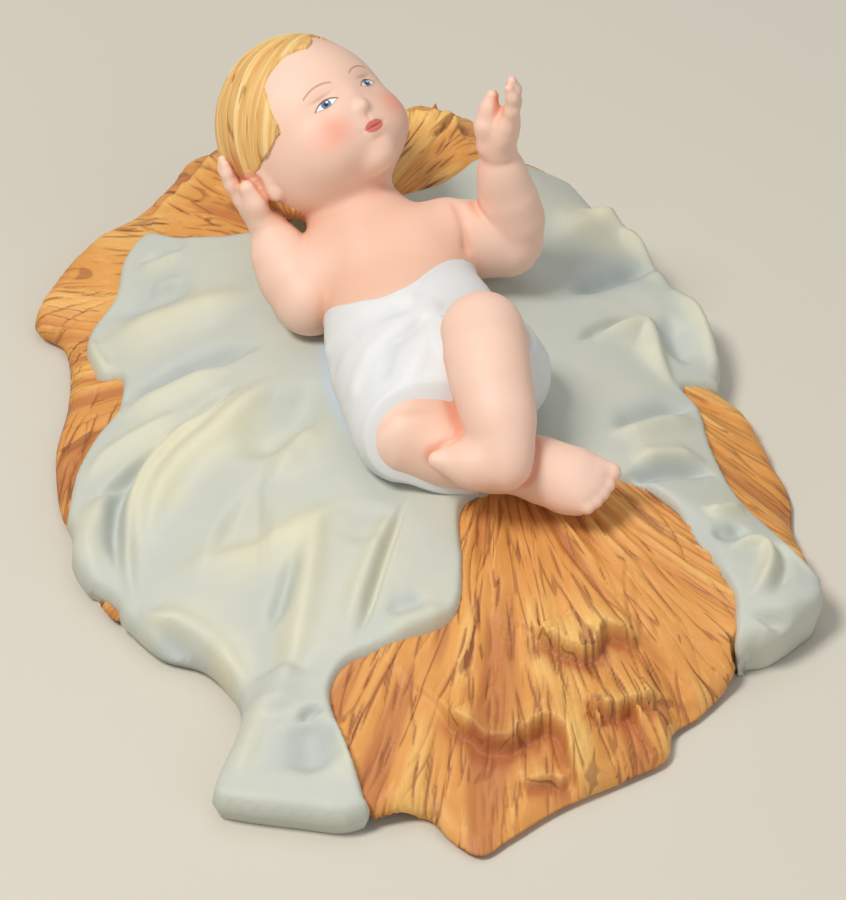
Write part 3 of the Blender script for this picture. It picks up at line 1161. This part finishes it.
def oval(across, up, middle, radii):  # 0 in the middle, 1 on the oval
    one, two = (across - middle[0]) / radii[0], (up - middle[1]) / radii[1]
    square = one * one + two * two
    return square.maths("SQRT", square)


def skinMaterial():
    material, shader, wire, spot = startMaterial("peach_flesh_glaze")
    cloud = spot.noise(60.0)
    ahead, up, aside = headCoordinates(spot)
    across = aside.maths("ABSOLUTE", aside)
    front = ahead.step(5.0, 9.0)  # keeps the painted face on the front of the head

    blush = 1 - oval(across, up, (8.0, -7.0), (5.0, 4.2)).step(0.1, 1.15)
    lips = 1 - oval(across, up, (0.0, -9.75), (2.35, 1.15)).step(0.86, 1.04)
    mouth = lips * oval(across, up, (0.0, -8.25), (0.75, 0.45)).step(0.8, 1.15) * front
    gap = 1 - oval(across, up, (0.0, -9.8), (2.2, 0.16)).step(0.5, 1.1)

    # the eye is an almond between two curved lids
    lens = (across - 5.5) / 2.35
    top = 0.95 * (1 - lens * lens)
    below = up + 1.85
    lower = below + top * 0.62
    white = (top - below).step(0.0, 0.14) * lower.step(0.0, 0.14) * front
    iris = oval(across, up, (5.5, -1.7), (0.98, 0.98))
    shine = 2 - sum(oval(aside, up, (place, -1.4), (0.22, 0.22)).step(0.8, 1.1) for place in (-5.85, 5.15))
    lash = (below - top).band(0.004, 0.035) * lens.band(1.0, 1.35) * below.step(-0.3, 0.0) * front
    line = lower.band(0.002, 0.02) * lens.band(0.8, 1.1) * front
    crest = (across - 5.4) / 3.2
    brow = (up - (2.1 - crest * crest * 0.9)).band(0.008, 0.07) * crest.band(0.75, 1.05) * front

    colour = paint((cloud * 1.2 - 0.1).clip().blend(srgb(239, 197, 173), srgb(244, 207, 187)),
                   (attribute(wire, "body") * (0.35 + cloud * 0.5), (230, 180, 152)),
                   (attribute(wire, "crease").step(0.05, 0.8) * 0.7, (228, 150, 114)),
                   (blush * front * 0.55, (240, 140, 112)),
                   (mouth * 0.85, (212, 94, 78)),
                   (gap * front * 0.6, (150, 50, 42)),
                   (white, (244, 242, 238)),
                   ((1 - iris.step(0.88, 1.02)) * white, (104, 128, 158)),
                   ((1 - iris.step(0.36, 0.48)) * white, (30, 32, 40)),
                   ((shine * white).clip(), (252, 252, 252)),
                   (lash * 0.9, (92, 58, 40)),
                   (line * 0.45, (150, 100, 80)),
                   (brow * 0.62, (176, 120, 70)))
    for name, value in child["subsurface"].items():
        shader.inputs[name].default_value = value
    plugAll(shader, colour, 0.55 - mouth * 0.12 - white * 0.15, spot.noise(2600.0, 2.0, 0.6), 0.12, 0.0001)
    return material


# hair
hair = {
    "around": (0, 12, 22, 38, 52, 64, 88, 94, 98, 101, 108, 116, 127, 144, 180),  # degrees round the face
    "edge": (33, 36, 42, 46, 51, 51, 50, 53, 66, 90, 104, 102, 95, 98, 104),  # how far back it grows there
    "parting": (8.0, 12.0, 10.0), "thick": 0.85, "sunk": -1.5, "locks": 30, "farTemple": 10.0,
    "across": 100, "along": 48, "cuts": 3,
}


def makeHair(material):
    # combed from a parting over the far temple, round the head to the nape
    settings = hair
    rows = unitRows(settings["parting"], (1.0, 0.0, 0.0))
    bm = bmesh.new()
    bmesh.ops.create_uvsphere(bm, u_segments=settings["across"], v_segments=settings["along"], radius=1.0)
    bmesh.ops.subdivide_edges(bm, edges=bm.edges[:], cuts=settings["cuts"], use_grid_fill=True)
    bmesh.ops.reverse_faces(bm, faces=bm.faces)  # the head's frame mirrors them, back to outwards
    item = makePiece("hair", bm, material)
    ball = readPoints(item.data)
    ball /= np.linalg.norm(ball, axis=1)[:, None]
    polar = np.arccos(np.clip(ball[:, 2], -1, 1))
    turn = np.arctan2(ball[:, 1], ball[:, 0])
    way = ball[:, [2]] * rows[0] + ball[:, [0]] * rows[1] + ball[:, [1]] * rows[2]
    local = way * np.array(child["skull"])
    length = np.linalg.norm(local, axis=1)
    heading = local / length[:, None]
    back = np.degrees(np.arccos(np.clip(heading[:, 0], -1, 1)))
    around = np.degrees(np.arctan2(np.abs(heading[:, 2]), heading[:, 1]))
    edge = np.interp(around, settings["around"], settings["edge"])
    edge += settings["farTemple"] * ease((heading[:, 2] - 0.04) / 0.4) * ease((110 - around) / 30)
    ring = np.stack([np.cos(turn), np.sin(turn)], axis=1) * 9.0  # so that noise closes round the head
    sway = bumps(ring + polar[:, None] * np.array([1.3, 0.7]), 3.0, 11) - 0.5
    phase = settings["locks"] * turn + 3.2 * sway
    lock = 0.5 + 0.5 * np.cos(phase)
    lock = lock * (0.55 + 0.45 * np.cos(phase * 0.5 + 2.0 * sway + 1.0))
    spread = ring * (1 + 0.06 * np.cos(polar * 3))[:, None]
    strand = bumps(np.stack([turn * 19 + sway * 3, polar * 1.5], axis=1), 1.0, 12)
    dash = bumps(np.stack([turn * 7, polar * 2.6], axis=1), 1.0, 14)
    cutLine = (1 - ease(np.abs(strand - 0.5) / 0.15)) * ease((dash - 0.35) / 0.2)
    fringe = 2.2 * (bumps(spread, 1.1, 13) - 0.5)
    grown = ease((back - edge + fringe) / 4 + 0.45)
    fade = ease(np.minimum(polar, math.pi - polar) / 0.5)  # no locks where they would meet
    proud = settings["thick"] * (0.55 + 0.5 * lock * fade - 0.34 * cutLine * fade)
    height = settings["sunk"] + (proud - settings["sunk"]) * grown
    final = np.array(child["head"]) + local * (1 + height / length)[:, None] @ headFrame
    writeValue(item.data, "lock", np.clip(lock, 0, 1))
    writeValue(item.data, "cutLine", cutLine * fade * grown)
    writeVector(item.data, "flow", np.column_stack([polar * 12, turn * 16, sway]))
    writePoints(item.data, toFrame(final))
    return item


def hairMaterial():
    material, shader, wire, spot = startMaterial("golden_hair_glaze")
    lock = attribute(wire, "lock")
    streak = attribute(wire, "flow", 1).stretched(0.12, 1.7, 0.6).noise(1.0, 4.0, 0.6)
    hollow = 1 - (lock + streak * 0.5 - 0.2).step(0.05, 0.4)
    colour = paint(streak.step(0.35, 0.7).blend(srgb(226, 174, 98), srgb(244, 206, 138)),
                   (lock.step(0.55, 1.0) * 0.6, (250, 226, 166)),
                   (hollow * 0.35, (212, 154, 78)),
                   (attribute(wire, "cutLine").step(0.3, 1.0) * 0.75, (164, 106, 50)))
    relief = streak * 0.8 + spot.noise(2400.0, 2.0, 0.6) * 0.08
    plugAll(shader, colour, 0.5 + streak * 0.12, relief, 0.5, 0.0003)
    return material


# loincloth
loincloth = {
    "cell": 0.5, "thick": 0.85, "sunk": -0.9, "hem": 0.2,
    "waist": [(-30, 31), (-14, 28), (-7.9, 25.2), (-4.1, 18.2), (2.3, 14.4), (8.8, 15.2), (14, 19.4),
              (18, 22.6), (24, 26.0), (40, 31)],  # its top edge: across the trunk, along it
    "sleeve": [(15, 3, 30, 10), (13.8, 1.6, 35.4, 8.6)],  # the left thigh's part in it
    "leftHem": ((6, 2, 41.2), (0.156, 0.049, 0.987)),  # a point on the hem's plane, the way to the leg
    "rightHem": ((-4.8, -17.5, 28.3), (0.154, -0.872, 0.465)),
    "folds": [(0.9, 1.5, [(-9.4, -6.4, 33.7), (-6.7, -0.4, 37.6), (-1.1, 4.4, 39.9), (4.2, 8, 40.6)]),
              (0.8, 1.4, [(-0.4, -9.5, 37.6), (1.8, -4.7, 40.4), (4.2, 5.6, 40.5)]),
              (-0.6, 1.5, [(-4.0, -6.5, 37.6), (-2.4, -0.6, 39.6), (2.4, 4.6, 40.8)]),
              (0.6, 1.6, [(-14.5, 8, 31), (-8, 9.5, 38), (0, 10.8, 41.2)]),
              (-0.4, 1.4, [(-14.0, 2.5, 31), (-9, 4.5, 36.6), (-2, 7.6, 40.4)])],
}


def clothRegion(points):
    # how far below the waist and before the right knee's hem a place is
    local = points @ trunkFrame.T
    across = np.arange(-32, 42, 0.5)
    waist = np.interp(across, *np.array(loincloth["waist"], float).T)
    waist = np.convolve(np.pad(waist, 4, mode="edge"), np.ones(9) / 9, mode="valid")
    region = (np.interp(local[:, 0], across, waist) - local[:, 1]) * 0.8
    place, way = loincloth["rightHem"]
    return smoothUnion(region, (np.array(place) - points) @ np.array(way), 1.2)


def clothFolds(points):
    relief = np.zeros(len(points))
    for depth, width, line in loincloth["folds"]:
        relief += depth * np.exp(-(np.maximum(lineGap(points, line), 0) / width) ** 2)
    return relief


def clothForm(points):
    # the wrap over the hips and right thigh, and a short sleeve on the raised left thigh
    region = clothRegion(points)
    rise = loincloth["sunk"] + (loincloth["thick"] - loincloth["sunk"]) * ease(region / 1.2 + 0.5)
    rise += loincloth["hem"] * np.exp(-((region - 0.9) / 0.7) ** 2) + clothFolds(points) * ease(region / 2)
    wrap = smoothUnion(trunkForm(points), legsForm(points)[0], 4) - rise
    place, way = loincloth["leftHem"]
    sleeve = rods(points, np.array(child["leftThigh"], float), 3) - loincloth["thick"]
    past = (points - np.array(place)) @ np.array(way)
    sleeve = -smoothUnion(-sleeve, -past, 0.9)
    return smoothUnion(wrap, sleeve, 2.4)


def makeLoincloth(material):
    settings = loincloth
    grown = settings["thick"]
    chains = [[tuple(ball[:3]) + (ball[3] + grown,) for ball in balls]
              for balls in (child["rightThigh"], child["rightShank"][:2], settings["sleeve"])]
    masses = [(middle, np.array(radii) + grown, trunkFrame) for middle, radii in child["trunk"][:3]]
    mesh = clay("loincloth", chains, masses, settings["cell"])
    points, edges = relax(readPoints(mesh), readEdges(mesh), 0.5, 3), readEdges(mesh)
    for _ in range(4):
        points = relax(settle(clothForm, points, 1, 0.7), edges, 0.4, 1)
    writePoints(mesh, settle(clothForm, points, 1, 0.7))
    refine(mesh, np.abs(clothRegion(faceCentres(mesh)) - 0.2) < 1.6)
    edges = readEdges(mesh)
    points = settle(clothForm, relax(readPoints(mesh), edges, 0.3, 1), 1)
    points = settle(clothForm, relax(points, edges, 0.25, 1), 1, 0.5)
    writeValue(mesh, "fold", clothFolds(points))
    writePoints(mesh, toFrame(points))
    return dress("loincloth", mesh, material)


def loinclothMaterial():
    material, shader, wire, spot = startMaterial("white_cloth_glaze")
    cloud = spot.noise(80.0, 3.0, 0.55)
    colour = paint((cloud * 1.2 - 0.1).clip().blend(srgb(221, 221, 220), srgb(231, 231, 228)),
                   ((cloud * 0.3 - attribute(wire, "fold") * 0.6).clip(), (204, 206, 206)))
    plugAll(shader, colour, 0.55 + cloud * 0.1, spot.noise(2600.0, 2.0, 0.6), 0.15, 0.0001)
    return material


# floor, lights and the finished pieces
def makeFloor():
    bm = bmesh.new()
    bmesh.ops.create_grid(bm, x_segments=2, y_segments=2, size=studio["floorSize"] / 2)
    material, shader, wire, spot = startMaterial("pale_studio_card")
    colour = spot.noise(3.0).blend(srgb(206, 200, 186), srgb(212, 206, 192))
    wire.tree.links.new(colour.socket, shader.inputs["Base Color"])
    shader.inputs["Roughness"].default_value = 0.9
    shader.inputs["Specular IOR Level"].default_value = 0.1
    item = makePiece("floor", bm, material)


def lightStudio():
    for name, lamp in studio["lamps"].items():
        addLamp(name, *lamp)
    world = bpy.data.worlds.new("studio")
    world.use_nodes = True
    sky = world.node_tree.nodes["Background"]
    sky.inputs["Color"].default_value = studio["sky"]
    sky.inputs["Strength"].default_value = studio["skyStrength"]
    bpy.context.scene.world = world


def finishPiece(piece):
    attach(piece, "root")
    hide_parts("figurine")
    print(piece.name, len(piece.data.polygons), "faces")


bpy.context.scene.view_settings.view_transform = "Standard"
addCamera()
lightStudio()
makeFloor()
print("studio ready")
finishPiece(makeBlanket(blanketMaterial()))
finishPiece(makeHay(hayMaterial()))
finishPiece(makeChild(skinMaterial()))
finishPiece(makeHair(hairMaterial()))
finishPiece(makeLoincloth(loinclothMaterial()))
